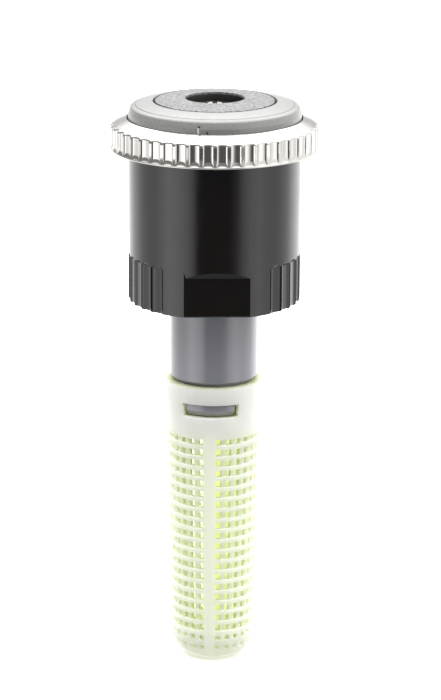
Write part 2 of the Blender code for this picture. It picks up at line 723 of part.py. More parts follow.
def spring_cup():
    bore, bottom, rim = SHAFT_RADIUS + 0.12, CUP_TOP - CUP_THICKNESS, CUP_TOP + 0.4
    profile = [
        (bore, CUP_TOP), (2.15, CUP_TOP), (2.15, rim), (2.45, rim), (2.45, bottom), (bore, bottom),
    ]
    return turned_part("spring_cup", profile, SMALL_STEPS, WHITE_ACETAL)


def return_spring():
    curve = bpy.data.curves.new("return_spring", "CURVE")
    curve.dimensions = "3D"
    curve.bevel_depth = SPRING_WIRE / 2 * MM
    curve.bevel_resolution = 1
    curve.use_fill_caps = True
    steps = SPRING_TURNS * 12
    low = SPRING_BOTTOM + SPRING_WIRE / 2
    rise = SPRING_TOP - SPRING_BOTTOM - SPRING_WIRE
    wire = curve.splines.new("POLY")
    wire.points.add(steps)
    for i, point in enumerate(wire.points):
        share = i / steps
        angle = share * SPRING_TURNS * tau
        point.co = (
            SPRING_MEAN_RADIUS * cos(angle) * MM, SPRING_MEAN_RADIUS * sin(angle) * MM,
            (low + rise * share) * MM, 1,
        )
    spring = new_object("return_spring", curve)
    curve.materials.append(STEEL)
    spring.parent = LIFT
    return spring


def throttle_plug():
    plug = turned("throttle_plug", [
        (PLUG_BORE, PLUG_TOP), (1.6, PLUG_TOP), (3.4, PLUG_TOP - 1.0), (PLUG_RADIUS, PLUG_TOP - 1.2),
        (PLUG_RADIUS, PLUG_BOTTOM + 0.3), (PLUG_RADIUS - 0.3, PLUG_BOTTOM), (PLUG_BORE, PLUG_BOTTOM),
    ], SMALL_STEPS)
    shape = bmesh.new()
    for angle in (pi / 2, -pi / 2):
        box_into(
            shape, (GUIDE_RIB_WIDTH + 2 * RUN, 2.0, 8.0),
            facing(angle) @ Matrix.Translation(
                Vector((0, -(GUIDE_RIB_INNER - RUN) - 1.0, PLUG_BOTTOM)) * MM
            ),
        )
    combine(plug, cutter_object("plug_guide_slots", shape), "DIFFERENCE")
    return finish(plug, WHITE_ACETAL)


def washer(name, outer, bottom, top, look):
    return turned_part(name, ring_profile(BUSH_BORE, outer, bottom, top), SHAFT_STEPS, look)


# ---------------------------------------------------------------- assembly

nozzle_base()
stem()
riser_gasket()
o_ring("stem_oring", 7.1, 0.45, 11.53)
o_ring("nozzle_oring", 5.28, 0.4, 15.05)
throttle_seat()
filter_basket()

arc_core()
arc_nozzle()
arc_ring()
o_ring("ring_friction_oring", 9.25, 0.28, 18.75)

deflector_plate()
head_ring()
top_dial()
brake_cover()
o_ring("cover_oring", 7.79, 0.26, 24.68)
bush("lower_bush", 21.3, 22.15)
bush("upper_bush", 24.43, 25.45)
shaft_seal()
washer("seal_retainer", BUSH_RADIUS, 20.05, 20.43, STEEL)

shaft()
brake_stator()
retaining_clip("stator_clip", 23.91, 0.3, 1.75)
washer("thrust_washer", 2.6, 22.3, 22.58, WHITE_ACETAL)
spring_cup()
retaining_clip("spring_clip", CUP_TOP - CUP_THICKNESS - GAP - CLIP_THICKNESS, CLIP_THICKNESS, 1.9)
return_spring()
throttle_plug()
retaining_clip("shaft_end_clip", -16.6, CLIP_THICKNESS, 1.7)
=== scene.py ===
"""Looks of the rotary sprinkler nozzle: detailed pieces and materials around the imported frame.

Sizes are in millimetres, turned into metres by MM, and heights on the nozzle are measured from the
bottom face of its body, as in part.py. Angles round the axis start at the front (-Y) and grow
counterclockwise seen from above.
"""

from math import acos, asin, cos, pi, radians, sin, sqrt, tan, tau

import bmesh
import bpy
from mathutils import Matrix, Vector


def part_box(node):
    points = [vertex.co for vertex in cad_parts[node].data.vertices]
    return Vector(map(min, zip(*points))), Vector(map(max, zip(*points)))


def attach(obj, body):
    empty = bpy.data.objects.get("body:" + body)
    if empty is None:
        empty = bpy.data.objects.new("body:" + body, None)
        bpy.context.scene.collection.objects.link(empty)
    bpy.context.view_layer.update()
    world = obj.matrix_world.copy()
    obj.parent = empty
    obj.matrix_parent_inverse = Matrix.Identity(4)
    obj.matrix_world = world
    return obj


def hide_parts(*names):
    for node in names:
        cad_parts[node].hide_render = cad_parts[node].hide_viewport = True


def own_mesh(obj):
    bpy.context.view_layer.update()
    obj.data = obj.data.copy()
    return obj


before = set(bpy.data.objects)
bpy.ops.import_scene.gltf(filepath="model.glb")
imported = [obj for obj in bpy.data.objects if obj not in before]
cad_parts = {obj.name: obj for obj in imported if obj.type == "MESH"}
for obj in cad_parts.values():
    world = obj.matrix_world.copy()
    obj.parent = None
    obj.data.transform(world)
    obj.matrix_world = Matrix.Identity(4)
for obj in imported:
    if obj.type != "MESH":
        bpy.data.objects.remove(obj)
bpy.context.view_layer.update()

MM = 0.001
FINE = 240  # steps round a turned surface
SHARP = radians(35)

# Heights and radii taken from the frame
BASE_LOW, BASE_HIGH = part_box("nozzle_base")
LIFT = BASE_LOW.z / MM  # bottom face of the body above the floor


def on_body(z):
    """Height above the body's bottom face, in millimetres, of a height in the frame."""
    return z / MM - LIFT


BODY_TOP = on_body(BASE_HIGH.z)
RING_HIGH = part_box("arc_ring")[1]
RING_TOP = on_body(RING_HIGH.z)
RING_RADIUS = RING_HIGH.x / MM
HEAD_LOW, HEAD_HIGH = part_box("head_ring")
HEAD_RADIUS = HEAD_HIGH.x / MM
HEAD_BOTTOM = on_body(HEAD_LOW.z)
DIAL_LOW, DIAL_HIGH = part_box("top_dial")
DIAL_RADIUS = DIAL_HIGH.x / MM
DIAL_TOP = on_body(DIAL_HIGH.z)
DIAL_BOTTOM = on_body(DIAL_LOW.z)
FILTER_LOW, FILTER_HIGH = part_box("filter_basket")
FILTER_TOP = on_body(FILTER_HIGH.z)
FILTER_BOTTOM = on_body(FILTER_LOW.z)
PLATE_LOW, PLATE_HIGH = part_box("deflector_plate")
PLATE_RADIUS = PLATE_HIGH.x / MM
PLATE_TOP = on_body(PLATE_HIGH.z)
PLATE_BOTTOM = on_body(PLATE_LOW.z)
SHAFT_LOW, SHAFT_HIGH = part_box("shaft")
SHAFT_RADIUS = SHAFT_HIGH.x / MM
SHAFT_TOP = on_body(SHAFT_HIGH.z) + 0.1  # its tip shows over the rim of the key hole
SHAFT_BOTTOM = on_body(SHAFT_LOW.z)

# Nozzle body
BARREL_RADIUS = 11.2
BARREL_TOP_RADIUS = 11.28
SKIRT_RADIUS = 11.28
SOCKET_RADIUS = 7.5
SOCKET_DEPTH = 10.0
THREAD_TURNS, THREAD_PITCH, THREAD_DEPTH = 9, 0.907, 0.4  # 28 threads per inch
GASKET_SEAT = 0.8  # height of the plain stretch above the thread
GLAND_RADIUS, GLAND_LOW, GLAND_HIGH = 7.65, 11.05, 12.0  # holds the stem's O-ring
CHAMBER_RADIUS = 9.6
DETENT_LOW, DETENT_HIGH, DETENT_DEPTH = 16.35, 17.25, 0.35  # groove that the arc ring snaps into
FLAT_DISTANCE = 10.35
FLAT_EDGE = acos(FLAT_DISTANCE / BARREL_RADIUS)  # half the angle that a flat takes up
FLAT_TOP = 5.19
FLUTE_TOP = 6.0
FLAT_RUNOUT, FLUTE_RUNOUT = 1.03, 1.8  # rise for each millimetre out, where flats and flutes end
FLUTE_PITCH = radians(10.32)
FLUTES_PER_SIDE = 10
FLUTE_DEPTH = 0.3

# Arc ring
RING_BOTTOM = 20.15
RING_FLANGE = 20.42  # where the flutes run out
RING_MOUTH = 11.43
RING_FALL, RING_CURVE = 0.78, 0.22  # how far the top face falls to the edge: evenly, and faster outward
RING_SHOULDER = 0.25  # fillet between the top face and the side
RING_FLUTES = 48
RING_TURN = radians(1.95)  # middle of the flute nearest the front
RING_PANEL_HALF, RING_PANEL_SLOPE = 0.46, radians(12)  # hollow panel: half its width, slope at its edge
RING_COVE, RING_COVE_SLOPE = 0.36, radians(65)  # cove beside it: its radius, slope at its outer edge
RING_EDGE = 0.25  # rounding along the top of the flutes
RING_TOE = 1.4  # radius of the cutter that leaves the lower ends of the flutes
RING_CREST = RING_RADIUS - 0.02
RING_BEAD = 0.15  # radius of the bead round the bottom edge
RING_SLEEVE, RING_BORE = 9.5, 8.5  # the part inside the body
RING_SEAL_LOW, RING_SEAL_HIGH, RING_SEAL_DEPTH = 18.35, 19.15, 0.6  # groove of the friction O-ring

# Head
DIAL_GAP = 0.32
RIM_TOP = 26.45
RIM_SHELF = 24.95  # inner ledge of the rim
KEY_HOLE = 3.84
WELL_BOTTOM = 25.52

# Stem
STEM_RADIUS = 5.76
SHOULDER_Z = -10.3
NECK_RADIUS = 5.25
BARB_RADIUS = 5.95
BARB_HALF_ANGLE = radians(33.5)
STEM_BORE = 4.4
STEM_TOP, STEM_BOTTOM = 16.1, -17.0
FLANGE_LOW, FLANGE_HIGH, FLANGE_RADIUS = 12.05, 13.1, 8.6

# Filter
FILTER_TURN = radians(-6.7)
FILTER_TOP_RADIUS = 6.29
FILTER_TAPER = 0.0241
FILTER_WALL = 0.95
FILTER_CORNER, FILTER_CORNER_HEIGHT = 2.7, 3.2
MESH_ROWS = 21
MESH_FIRST, MESH_LAST = -18.1, -46.9  # middles of the first and last rows of windows
WINDOW_HALF, FIRST_WINDOW_HALF, LAST_WINDOW_HALF = 0.44, 0.37, 0.29  # half heights
RIB_ANGLE = radians(15.4)
WINDOW_ANGLE = radians(7.2)
WINDOWS_PER_QUADRANT = 6
SLOT_TOP, SLOT_BOTTOM = -13.0, -14.75
SLOT_HALF_ANGLE = radians(36.8)
COLLAR_END = -17.2
COLLAR_PROUD = 0.06
RIB_PROUD = 0.08
BAR_DEPTH = 0.25
RING_THICKNESS = 0.6
END_STEPS = 7

# Rotor and shaft
ROTOR_GROOVES = 16
GROOVE_OFFSET = 1.6
GROOVE_TILT = radians(-21)
SHAFT_THREAD_TOP, SHAFT_THREAD_PITCH, SHAFT_THREAD_DEPTH = -9.5, 1.0, 0.14
DRIVER_SLOT = (0.65, 4, 1.6)

# Camera, from the object's axis and the body's bottom face
CAMERA_TURN = radians(-2.05)
CAMERA_DISTANCE = 450.0
CAMERA_HEIGHT = 116.0
CAMERA_PITCH = radians(15.3)
CAMERA_YAW = radians(0.11)
CAMERA_ROLL = radians(0.26)
CAMERA_LENS = 181.8

# Light round the object, as (degrees from the camera, brightness), and from overhead
SOFTBOXES_LEFT = [
    (0, 0.15), (22, 0.15), (27, 1.05), (32, 1.57), (38, 1.95), (49, 2.4), (64, 2.7), (75, 2.0),
    (86, 1.5), (100, 1.3), (114, 1.4), (124, 1.7), (146, 2.0), (180, 2.2),
]
SOFTBOXES_RIGHT = [
    (21, 0.15), (31, 0.45), (37, 1.1), (43, 1.5), (49, 1.8), (62, 2.1), (75, 1.6), (90, 1.35),
    (104, 1.55), (114, 1.75), (124, 2.4), (137, 2.6), (155, 2.3), (180, 2.2),
]
BRIGHTEST = 5.5
OVERHEAD = 5.2
WALL, WALL_RIGHT, WALL_BEHIND = 0.35, 1.5, 0.8  # just above the horizon: in front, to the right, behind
RIGHT_FROM, RIGHT_FULL = 0.2, 0.8  # sideways part of the direction between which the right wall comes in
BEHIND_FROM, BEHIND_FULL = 0.5, 0.95  # the same for the back wall and the backward part
OVERHEAD_TILT = radians(10)  # how far the overhead light leans to the back
OVERHEAD_FROM, OVERHEAD_FULL = radians(20), radians(60)
GROUND = 0.9  # straight down
GROUND_FROM, GROUND_FULL = radians(-25), radians(-60)
SKYLINE_LOW, SKYLINE_HIGH = radians(-4), radians(6)  # softboxes below, walls above


# ---------------------------------------------------------------- materials

class Shader:
    """A Principled material with helpers to wire up its nodes. Texture space is the object's, in metres."""

    def __init__(self, name, colour, roughness, metallic=0.0, ior=1.5):
        self.material = bpy.data.materials.new(name)
        self.material.use_nodes = True
        self.nodes = self.material.node_tree.nodes
        self.links = self.material.node_tree.links
        self.surface = self.nodes["Principled BSDF"]
        self.set("Base Color", (*colour, 1.0))
        self.set("Roughness", roughness)
        self.set("Metallic", metallic)
        self.set("IOR", ior)
        self.place = self.nodes.new("ShaderNodeTexCoord").outputs["Object"]
        self.material.diffuse_color = (*colour, 1.0)

    def set(self, socket, value):
        self.surface.inputs[socket].default_value = value

    def drive(self, socket, output):
        self.links.new(output, self.surface.inputs[socket])

    def noise(self, size_mm, detail=3.0, stretch=(1, 1, 1)):
        """Noise with features of about size_mm, longer along an axis whose stretch is above 1."""
        mapping = self.nodes.new("ShaderNodeMapping")
        mapping.inputs["Scale"].default_value = [1 / s for s in stretch]
        self.links.new(self.place, mapping.inputs["Vector"])
        made = self.nodes.new("ShaderNodeTexNoise")
        made.inputs["Scale"].default_value = 1 / (size_mm * MM)
        made.inputs["Detail"].default_value = detail
        self.links.new(mapping.outputs["Vector"], made.inputs["Vector"])
        return made.outputs["Fac"]

    def ramp(self, value, stops):
        made = self.nodes.new("ShaderNodeValToRGB")
        points = made.color_ramp.elements
        while len(points) < len(stops):
            points.new(0.5)
        for point, (position, colour) in zip(points, stops):
            point.position = position
            point.color = (*colour, 1.0)
        self.links.new(value, made.inputs["Fac"])
        return made.outputs["Color"]

    def map_range(self, value, low, high, to_low, to_high):
        made = self.nodes.new("ShaderNodeMapRange")
        for socket, number in (
            ("From Min", low), ("From Max", high), ("To Min", to_low), ("To Max", to_high)
        ):
            made.inputs[socket].default_value = number
        self.links.new(value, made.inputs["Value"])
        return made.outputs["Result"]

    def maths(self, operation, first, second=None):
        made = self.nodes.new("ShaderNodeMath")
        made.operation = operation
        for socket, value in zip(made.inputs, (first, second)):
            if value is None:
                continue
            if isinstance(value, (int, float)):
                socket.default_value = value
            else:
                self.links.new(value, socket)
        return made.outputs["Value"]

    def mix(self, factor, first, second):
        made = self.nodes.new("ShaderNodeMix")
        made.data_type = "RGBA"
        for socket, value in zip((made.inputs[0], made.inputs[6], made.inputs[7]), (factor, first, second)):
            if isinstance(value, tuple):
                socket.default_value = (*value, 1.0)
            elif isinstance(value, (int, float)):
                socket.default_value = value
            else:
                self.links.new(value, socket)
        return made.outputs[2]

    def bump(self, height, depth_mm, strength):
        made = self.nodes.new("ShaderNodeBump")
        made.inputs["Strength"].default_value = strength
        made.inputs["Distance"].default_value = depth_mm * MM
        self.links.new(height, made.inputs["Height"])
        self.drive("Normal", made.outputs["Normal"])


def black_plastic():
    made = Shader("black_moulded_plastic", (0.005, 0.003, 0.0028), 0.16)
    cloud = made.noise(3.0, 4)
    made.drive("Roughness", made.map_range(cloud, 0.3, 0.7, 0.12, 0.2))
    fine = made.noise(0.12, 2)
    flow = made.noise(1.6, 2, stretch=(1, 1, 6))
    height = made.maths("ADD", made.maths("MULTIPLY", fine, 0.12), flow)
    made.bump(height, 0.012, 0.35)
    return made.material


def chrome():
    made = Shader("chrome_plating", (0.52, 0.51, 0.49), 0.07, metallic=1.0)
    haze = made.noise(0.7, 4)
    made.drive("Roughness", made.map_range(haze, 0.3, 0.75, 0.05, 0.13))
    warm = made.noise(2.5, 2)
    made.drive("Base Color", made.ramp(warm, [(0.35, (0.54, 0.53, 0.51)), (0.7, (0.5, 0.485, 0.46))]))
    made.bump(made.noise(0.35, 3), 0.006, 0.5)
    return made.material


def rim_plastic():
    made = Shader("light_grey_rim_plastic", (0.165, 0.165, 0.162), 0.3)
    grain = made.noise(0.22, 3)
    made.drive("Base Color", made.ramp(grain, [(0.3, (0.156, 0.156, 0.154)), (0.7, (0.191, 0.191, 0.188))]))
    made.drive("Roughness", made.map_range(made.noise(1.5, 3), 0.3, 0.7, 0.24, 0.36))
    made.bump(grain, 0.015, 0.5)
    return made.material


def dial_plastic():
    made = Shader("grained_dial_plastic", (0.13, 0.13, 0.134), 0.5)
    grain = made.noise(0.36, 4)
    made.drive("Base Color", made.ramp(grain, [(0.38, (0.062, 0.062, 0.066)), (0.62, (0.167, 0.167, 0.171))]))
    made.bump(grain, 0.12, 0.8)
    return made.material


def stem_plastic():
    made = Shader("stem_grey_moulded_plastic", (0.2, 0.202, 0.227), 0.14, ior=1.6)
    made.drive("Roughness", made.map_range(made.noise(2.0, 3), 0.3, 0.7, 0.1, 0.2))
    made.bump(made.noise(1.2, 2, stretch=(1, 1, 8)), 0.01, 0.3)
    return made.material


def filter_plastic():
    """Translucent plastic, pale outside, with painted light in its colour: more yellow-green the deeper into
    the wall it is seen, for backlight glowing through it, and a painted shade along the top edge.
    """
    made = Shader("translucent_filter_plastic", (0.6, 0.66, 0.5), 0.4, ior=1.49)
    split = made.nodes.new("ShaderNodeSeparateXYZ")
    made.links.new(made.place, split.inputs[0])
    x, y, z = split.outputs
    across = made.maths("SQRT", made.maths("ADD", made.maths("MULTIPLY", x, x), made.maths("MULTIPLY", y, y)))
    height = made.maths("SUBTRACT", z, (FILTER_TOP + LIFT) * MM)
    outer = made.maths("ADD", made.maths("MULTIPLY", height, FILTER_TAPER), FILTER_TOP_RADIUS * MM)
    depth = made.maths("SUBTRACT", outer, across)
    # Painted light: the colour turns yellow-green with depth into the wall, for backlight glowing through the
    # translucent plastic; above_end keeps it off the rounded end, and cloud adds a random tone.
    inside = made.map_range(depth, 0.12 * MM, 0.75 * MM, 0.0, 1.0)
    end = (FILTER_BOTTOM - FILTER_TOP) * MM
    above_end = made.map_range(height, end, end + FILTER_CORNER_HEIGHT * MM, 0.0, 1.0)
    cloud = made.map_range(made.noise(2.2, 3), 0.3, 0.7, -0.06, 0.06)
    factor = made.maths("ADD", made.maths("MULTIPLY", inside, above_end), cloud)
    tone_and_painted_glow = made.mix(factor, (0.905, 0.992, 0.75), (0.89, 1.0, 0.36))
    # Painted shade: the colour darkens to grey-green over the top 0.35 mm of the collar, for the shade along
    # its top edge.
    painted_lip_shade = made.map_range(height, -0.35 * MM, 0.0, 0.0, 1.0)
    made.drive("Base Color", made.mix(painted_lip_shade, tone_and_painted_glow, (0.5, 0.56, 0.34)))
    made.set("Subsurface Weight", 1.0)
    made.set("Subsurface Radius", (1.0, 1.0, 0.9))
    made.set("Subsurface Scale", 4.0 * MM)
    made.drive("Roughness", made.map_range(made.noise(0.8, 2), 0.3, 0.7, 0.3, 0.5))
    made.bump(made.noise(0.3, 3), 0.02, 0.4)
    return made.material


def dark_plastic(name="dark_well_plastic", colour=(0.011, 0.0095, 0.008)):
    made = Shader(name, colour, 0.4)
    made.bump(made.noise(0.25, 3), 0.02, 0.5)
    made.drive("Roughness", made.map_range(made.noise(1.2, 2), 0.3, 0.7, 0.32, 0.5))
    return made.material


def acetal():
    made = Shader("white_acetal", (0.72, 0.72, 0.68), 0.35)
    cloud = made.noise(1.5, 3)
    made.drive("Base Color", made.ramp(cloud, [(0.3, (0.7, 0.7, 0.65)), (0.7, (0.78, 0.78, 0.74))]))
    made.bump(made.noise(0.2, 2), 0.01, 0.4)
    return made.material


def steel():
    made = Shader("drawn_stainless_steel", (0.62, 0.61, 0.6), 0.25, metallic=1.0)
    lines = made.noise(0.12, 3, stretch=(1, 1, 14))
    made.drive("Roughness", made.map_range(lines, 0.3, 0.7, 0.18, 0.34))
    made.bump(lines, 0.006, 0.5)
    return made.material


def rubber():
    made = Shader("black_rubber", (0.018, 0.018, 0.018), 0.65)
    made.bump(made.noise(0.12, 3), 0.015, 0.5)
    made.drive("Roughness", made.map_range(made.noise(0.8, 2), 0.3, 0.7, 0.55, 0.75))
    return made.material


BLACK = black_plastic()
CHROME = chrome()
RIM = rim_plastic()
DIAL = dial_plastic()
STEM_GREY = stem_plastic()
FILTER_GREEN = filter_plastic()
WELL = dark_plastic()
# A darker copy of the well plastic: painted shade on the floor of the key hole.
WELL_FLOOR = dark_plastic("well_floor_painted_shade", (0.003, 0.0025, 0.002))
ACETAL = acetal()
STEEL = steel()
RUBBER = rubber()
# Near-black for the index's small discs: painted shade for pits.
PIT_SHADE = dark_plastic("pit_painted_shade", (0.02, 0.02, 0.02))
# Pale colour of the index tick: a painted highlight.
TICK_HIGHLIGHT = dark_plastic("tick_painted_highlight", (0.6, 0.6, 0.58))


# ---------------------------------------------------------------- building tools

def in_place(shape):
    """Moves a bmesh in millimetres above the body's bottom face into the frame."""
    bmesh.ops.transform(shape, matrix=Matrix.Translation((0, 0, LIFT)), verts=shape.verts)
    bmesh.ops.scale(shape, vec=(MM, MM, MM), verts=shape.verts)
    return shape


def add_piece(name, shape, body, look, sharp=SHARP):
    """Makes an object from a bmesh in millimetres above the body's bottom face, and lets it ride."""
    mesh = bpy.data.meshes.new(name)
    in_place(shape).to_mesh(mesh)
    shape.free()
    mesh.shade_smooth()
    mesh.set_sharp_from_angle(angle=sharp)
    mesh.materials.append(look)
    piece = bpy.data.objects.new(name, mesh)
    bpy.context.scene.collection.objects.link(piece)
    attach(piece, body)
    return piece


def at(angle, radius, height):
    """The point at this angle from the front, radius and height."""
    return (radius * sin(angle), -radius * cos(angle), height)


def rounded(corners, steps=4):
    """A closed outline through (radius, height, fillet) corners, with each corner rounded by its fillet."""
    outline = []
    count = len(corners)
    for i, (r, z, fillet) in enumerate(corners):
        here = Vector((r, z))
        before = Vector(corners[i - 1][:2]) - here
        after = Vector(corners[(i + 1) % count][:2]) - here
        if fillet <= 0:
            outline.append((r, z))
            continue
        half = before.angle(after) / 2
        run = min(fillet / tan(half), 0.49 * before.length, 0.49 * after.length)
        radius = run * tan(half)
        middle = here + (before.normalized() + after.normalized()).normalized() * (radius / sin(half))
        start, end = here + before.normalized() * run, here + after.normalized() * run
        turn = (start - middle).angle_signed(end - middle)
        for k in range(steps + 1):
            spoke = (start - middle).copy()
            spoke.rotate(Matrix.Rotation(-turn * k / steps, 2))
            outline.append(tuple(middle + spoke))
    return outline


def fixed(*points):
    """Rows of a sweep, each with the same (radius, height) all round."""
    return [lambda a, p=p: p for p in points]


def sweep(rows, angles, shape=None):
    """Joins rows into a closed ring of quads. A row gives (radius, height) for each angle, all round."""
    shape = shape or bmesh.new()
    rings = [[shape.verts.new(at(a, *row(a))) for a in angles] for row in rows]
    count = len(angles)
    for upper, lower in zip(rings, rings[1:] + rings[:1]):
        for i in range(count):
            j = (i + 1) % count
            shape.faces.new((upper[i], upper[j], lower[j], lower[i]))
    bmesh.ops.remove_doubles(shape, verts=shape.verts, dist=1e-5)
    bmesh.ops.recalc_face_normals(shape, faces=shape.faces)
    return shape


def even(count, first=0.0):
    return [first + tau * i / count for i in range(count)]


def lathe(corners, steps=FINE, shape=None):
    """A turned solid whose outline has (radius, height, fillet) corners. No corner is on the axis."""
    return sweep(fixed(*rounded(corners)), even(steps), shape)


def near(angle, target):
    """The signed angle from target to angle, from -pi to pi."""
    return (angle - target + pi) % tau - pi


# ---------------------------------------------------------------- nozzle body

def flute_centres():
    row = [pi / 2 + (i - (FLUTES_PER_SIDE - 1) / 2) * FLUTE_PITCH for i in range(FLUTES_PER_SIDE)]
    return row + [angle + pi for angle in row]


def skirt_radius(angle):
    """Outer radius of the skirt: flats at the front and back, steep-sided flutes at the sides."""
    for target in (0, pi):
        offset = near(angle, target)
        if abs(offset) < FLAT_EDGE:
            return FLAT_DISTANCE / cos(offset)
    for target in flute_centres():
        share = 2 * near(angle, target) / FLUTE_PITCH
        if abs(share) < 1 - 1e-9:
            return SKIRT_RADIUS - FLUTE_DEPTH * (1 - share**4)
    return BARREL_RADIUS


def skirt_top(angle):
    """Height of the top of the flat or flute at this angle."""
    on_flat = any(abs(near(angle, target)) <= FLAT_EDGE for target in (0, pi))
    return FLAT_TOP if on_flat else FLUTE_TOP


def skirt_end(angle):
    """Height at which the slope above a flat or flute runs out into the barrel."""
    top = skirt_top(angle)
    runout = FLAT_RUNOUT if top == FLAT_TOP else FLUTE_RUNOUT
    return top + runout * abs(BARREL_RADIUS - skirt_radius(angle))


def body_angles():
    """Angles of the body's vertical lines: close together round each crest and flat edge."""
    angles = set()
    for side in (0, pi):
        for k in range(-16, 17):
            angles.add(side + k / 16 * FLAT_EDGE)
        for edge in (-1, 1):
            angles.add(side + edge * (FLAT_EDGE + radians(0.1)))
    for target in flute_centres():
        for share in (0, 0.25, 0.45, 0.6, 0.7, 0.78, 0.84, 0.89, 0.93, 0.965, 0.99, 1.0):
            for edge in (-1, 1):
                angles.add(target + edge * share * FLUTE_PITCH / 2)
    land_end = pi / 2 - FLUTES_PER_SIDE / 2 * FLUTE_PITCH
    for side in (0, pi):
        for k in range(1, 9):
            step = FLAT_EDGE + (land_end - FLAT_EDGE) * k / 9
            angles.update((side + step, side - step))
    ordered = sorted(angle % tau for angle in angles)
    return [a for a, b in zip(ordered, ordered[1:] + [ordered[0] + tau]) if b - a > 1e-5]


def nozzle_body():
    detent = CHAMBER_RADIUS + DETENT_DEPTH
    rows = fixed(
        (CHAMBER_RADIUS + 0.25, BODY_TOP), (BARREL_TOP_RADIUS - 0.12, BODY_TOP),
        (BARREL_TOP_RADIUS - 0.03, BODY_TOP - 0.04), (BARREL_TOP_RADIUS, BODY_TOP - 0.13),
        (BARREL_TOP_RADIUS, BODY_TOP - 0.5), (BARREL_RADIUS + 0.01, 7.5),
    )
    rows += [
        lambda a: (BARREL_RADIUS, skirt_end(a) + 0.2),
        lambda a: (BARREL_RADIUS, skirt_end(a)),
        lambda a: (skirt_radius(a), skirt_top(a)),
        lambda a: (skirt_radius(a), skirt_top(a) - 0.15),
        lambda a: (skirt_radius(a), 0.45),
        lambda a: (skirt_radius(a), 0.3),
        lambda a: (skirt_radius(a) - 0.04, 0.12),
        lambda a: (skirt_radius(a) - 0.16, 0.0),
    ]
    rows += fixed((SOCKET_RADIUS + 0.6, 0.0), (SOCKET_RADIUS + 0.5, 0.05), (SOCKET_RADIUS + 0.4, 0.3))
    for k in range(THREAD_TURNS):
        for deep, share in ((0, 0.1), (0, 0.2), (THREAD_DEPTH, 0.6), (THREAD_DEPTH, 0.7)):
            rows += fixed((SOCKET_RADIUS + deep, 0.6 + k * THREAD_PITCH + share * THREAD_PITCH))
    rows += fixed(
        (SOCKET_RADIUS, SOCKET_DEPTH - GASKET_SEAT), (SOCKET_RADIUS, SOCKET_DEPTH),
        (STEM_RADIUS + 0.1, SOCKET_DEPTH), (STEM_RADIUS + 0.1, GLAND_LOW - 0.05), (6.55, GLAND_LOW),
        (GLAND_RADIUS, GLAND_LOW), (GLAND_RADIUS, GLAND_HIGH), (CHAMBER_RADIUS, GLAND_HIGH),
        (CHAMBER_RADIUS, DETENT_LOW - 0.1), (detent, DETENT_LOW), (detent, DETENT_HIGH),
        (CHAMBER_RADIUS, DETENT_HIGH + 0.1), (CHAMBER_RADIUS, BODY_TOP - 0.25),
    )
    shape = sweep(rows, body_angles())
    piece = add_piece("nozzle_body_shell", shape, "body", BLACK, sharp=radians(20))
    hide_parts("nozzle_base")


# ---------------------------------------------------------------- arc ring

def ring_flute_radius(angle):
    """Radius of the ring's side: hollow panels, a cove on either side, and narrow lands between them."""
    pitch = tau / RING_FLUTES
    across = RING_CREST * abs((angle - RING_TURN + pitch / 2) % pitch - pitch / 2)
    cove_depth = RING_COVE * (cos(RING_PANEL_SLOPE) - cos(RING_COVE_SLOPE))
    if across < RING_PANEL_HALF:
        panel = RING_PANEL_HALF / sin(RING_PANEL_SLOPE)
        return RING_CREST - cove_depth - sqrt(panel**2 - across**2) + panel * cos(RING_PANEL_SLOPE)
    lean = sin(RING_PANEL_SLOPE) + (across - RING_PANEL_HALF) / RING_COVE
    if lean < sin(RING_COVE_SLOPE):
        return RING_CREST - RING_COVE * (sqrt(1 - lean**2) - cos(RING_COVE_SLOPE))
    return RING_CREST


def ring_cone(radius):
    """Height of the ring's sloped top face at this radius, with its outer shoulder rounded."""
    share = (radius - RING_MOUTH) / (RING_RADIUS - RING_MOUTH)
    over = max(0.0, min(radius - (RING_RADIUS - RING_SHOULDER), RING_SHOULDER))
    drop = RING_SHOULDER - sqrt(RING_SHOULDER**2 - over**2)
    return RING_TOP - RING_FALL * share - RING_CURVE * share**2 - drop


def ring_angles():
    pitch = tau / RING_FLUTES
    panel = [RING_PANEL_HALF * share for share in (0.0, 0.5, 1.0)]
    slopes = [RING_PANEL_SLOPE + (RING_COVE_SLOPE - RING_PANEL_SLOPE) * k / 6 for k in range(1, 7)]
    cove = [RING_PANEL_HALF + RING_COVE * (sin(slope) - sin(RING_PANEL_SLOPE)) for slope in slopes]
    steps = [across / RING_CREST for across in panel + cove] + [pitch / 2]
    steps += [pitch - step for step in reversed(steps[1:-1])]
    return [RING_TURN + pitch * i + step for i in range(RING_FLUTES) for step in steps]


